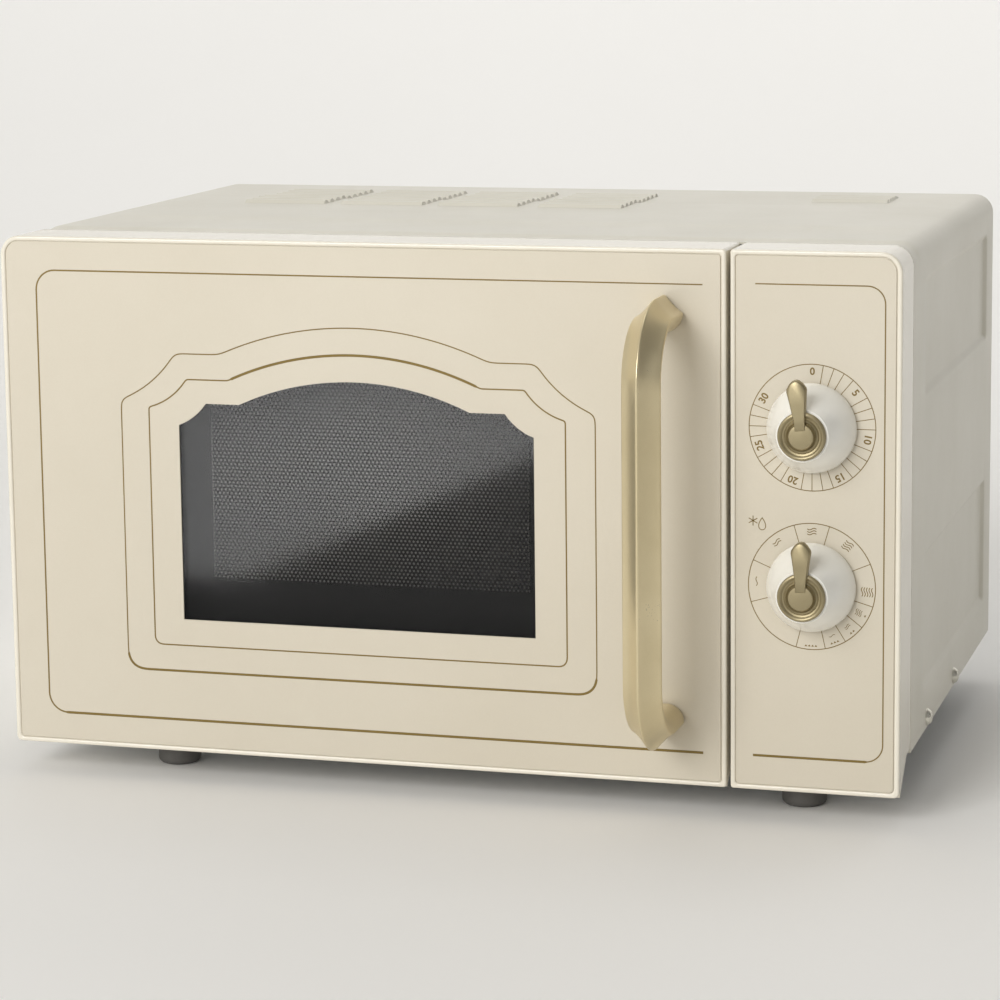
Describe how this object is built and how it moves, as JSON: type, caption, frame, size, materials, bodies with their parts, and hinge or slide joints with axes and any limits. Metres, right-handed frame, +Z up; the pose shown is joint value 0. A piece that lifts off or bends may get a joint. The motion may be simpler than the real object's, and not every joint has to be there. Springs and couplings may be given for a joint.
{
  "type": "microwave oven",
  "caption": "Retro countertop microwave oven with grill: hinged door with arched window and bow handle, lever dials, turntable and full internal works.",
  "frame": {"origin": "bottom centre of the bounding box, on the worktop", "axes": "+X to the right of a user facing the door, +Y to the rear, +Z up"},
  "size_m": [0.458, 0.378, 0.275],
  "materials": {
    "cream_casing": "satin",
    "ivory_frame": "gloss",
    "cream_face": "satin metallic",
    "smoked_glass": "gloss",
    "turntable_glass": "gloss",
    "lamp_glass": "gloss",
    "champagne_metal": "satin",
    "white_knob": "gloss",
    "galvanised_steel": "satin",
    "zinc_screws": "satin",
    "cavity_enamel": "satin",
    "screen_black": "matt",
    "mica": "matt",
    "copper_windings": "satin",
    "grey_plastic": "matt",
    "white_plastic": "matt",
    "red_plastic": "matt",
    "foot_rubber": "matt",
    "shaft_steel": "satin",
    "element_steel": "satin",
    "board_green": "matt"
  },
  "bodies": {
    "cabinet": {"base_plate": "galvanised_steel", "capacitor": "galvanised_steel", "casing_screws": "zinc_screws", "cavity_liner": "cavity_enamel", "cord_gland": "grey_plastic", "door_switch_lower": "white_plastic", "door_switch_upper": "white_plastic", "fan_motor": "galvanised_steel", "fan_shroud": "grey_plastic", "filter_board": "board_green", "foot_front_left": "foot_rubber", "foot_front_right": "foot_rubber", "foot_rear_left": "foot_rubber", "foot_rear_right": "foot_rubber", "front_plate": "galvanised_steel", "grill_element": "element_steel", "hinge_bracket_lower": "galvanised_steel", "hinge_bracket_upper": "galvanised_steel", "lamp_bulb": "lamp_glass", "lamp_holder": "white_plastic", "magnetron": "galvanised_steel", "outer_casing": "cream_casing", "panel_face": "cream_face", "panel_frame": "ivory_frame", "power_selector": "grey_plastic", "rear_panel": "galvanised_steel", "rear_spacer": "grey_plastic", "switch_bracket": "galvanised_steel", "thermal_cutout": "white_plastic", "timer_bell": "zinc_screws", "timer_unit": "grey_plastic", "transformer_core": "galvanised_steel", "transformer_windings": "copper_windings", "turntable_motor": "galvanised_steel", "waveguide": "galvanised_steel", "waveguide_cover": "mica"},
    "door": {"door_frame": "ivory_frame", "door_face": "cream_face", "window_pane": "smoked_glass", "door_screen": "screen_black", "choke_cover": "grey_plastic", "handle": "champagne_metal", "handle_screws": "zinc_screws", "latch_spring": "shaft_steel"},
    "latch": {"latch_plate": "grey_plastic"},
    "timer_dial": {"timer_shaft": "shaft_steel", "timer_skirt": "white_knob", "timer_lever": "champagne_metal"},
    "power_dial": {"power_shaft": "shaft_steel", "power_skirt": "white_knob", "power_lever": "champagne_metal"},
    "turntable_drive": {"coupler": "grey_plastic"},
    "plate": {"glass_plate": "turntable_glass"},
    "ring": {"roller_ring": "grey_plastic"},
    "roller_one": {"roller_1": "white_plastic"},
    "roller_two": {"roller_2": "white_plastic"},
    "roller_three": {"roller_3": "white_plastic"},
    "fan": {"fan_blades": "white_plastic"},
    "plunger_low": {"switch_plunger_lower": "red_plastic"},
    "plunger_high": {"switch_plunger_upper": "red_plastic"}
  },
  "joints": [
    {"name": "door_swing", "type": "hinge", "parent": "cabinet", "child": "door", "pos_m": [-0.2205, -0.106, 0.015], "axis": [0, 0, -1], "range_deg": [0, 92]},
    {"name": "timer_turn", "type": "hinge", "parent": "cabinet", "child": "timer_dial", "pos_m": [0.1852, -0.131, 0.1916], "axis": [0, 1, 0], "range_deg": [0, 300]},
    {"name": "power_turn", "type": "hinge", "parent": "cabinet", "child": "power_dial", "pos_m": [0.1852, -0.131, 0.1156], "axis": [0, 1, 0], "range_deg": [-87, 180]},
    {"name": "turntable_spin", "type": "hinge", "parent": "cabinet", "child": "turntable_drive", "pos_m": [-0.0421, 0.035, 0.047], "axis": [0, 0, 1], "continuous": true},
    {"name": "plate_lift", "type": "slide", "parent": "turntable_drive", "child": "plate", "axis": [0, 0, 1], "range_m": [0, 0.03]},
    {"name": "ring_spin", "type": "hinge", "parent": "cabinet", "child": "ring", "pos_m": [-0.0421, 0.035, 0.047], "axis": [0, 0, 1], "continuous": true},
    {"name": "fan_spin", "type": "hinge", "parent": "cabinet", "child": "fan", "pos_m": [0.171, 0.153, 0.205], "axis": [0, 1, 0], "continuous": true},
    {"name": "latch_lift", "type": "slide", "parent": "door", "child": "latch", "axis": [0, 0, 1], "range_m": [0, 0.003], "stiffness_N_per_m": 200, "deforming": ["latch_spring"]},
    {"name": "switch_press_lower", "type": "slide", "parent": "cabinet", "child": "plunger_low", "axis": [0, 1, 0], "range_m": [0, 0.0018], "stiffness_N_per_m": 60},
    {"name": "switch_press_upper", "type": "slide", "parent": "cabinet", "child": "plunger_high", "axis": [0, 1, 0], "range_m": [0, 0.0018], "stiffness_N_per_m": 60},
    {"name": "roller_one_spin", "type": "hinge", "parent": "ring", "child": "roller_one", "pos_m": [0.0454, 0.035, 0.054], "axis": [1, 0, 0], "continuous": true},
    {"name": "roller_two_spin", "type": "hinge", "parent": "ring", "child": "roller_two", "pos_m": [-0.08585, 0.11078, 0.054], "axis": [-0.5, 0.866, 0], "continuous": true},
    {"name": "roller_three_spin", "type": "hinge", "parent": "ring", "child": "roller_three", "pos_m": [-0.08585, -0.04078, 0.054], "axis": [-0.5, -0.866, 0], "continuous": true}
  ],
  "couplings": [
    {"joint": "ring_spin", "follows": "turntable_spin", "ratio": 0.5},
    {"joint": "roller_one_spin", "follows": "turntable_spin", "ratio": -6.5299},
    {"joint": "roller_two_spin", "follows": "turntable_spin", "ratio": -6.5299},
    {"joint": "roller_three_spin", "follows": "turntable_spin", "ratio": -6.5299}
  ]
}
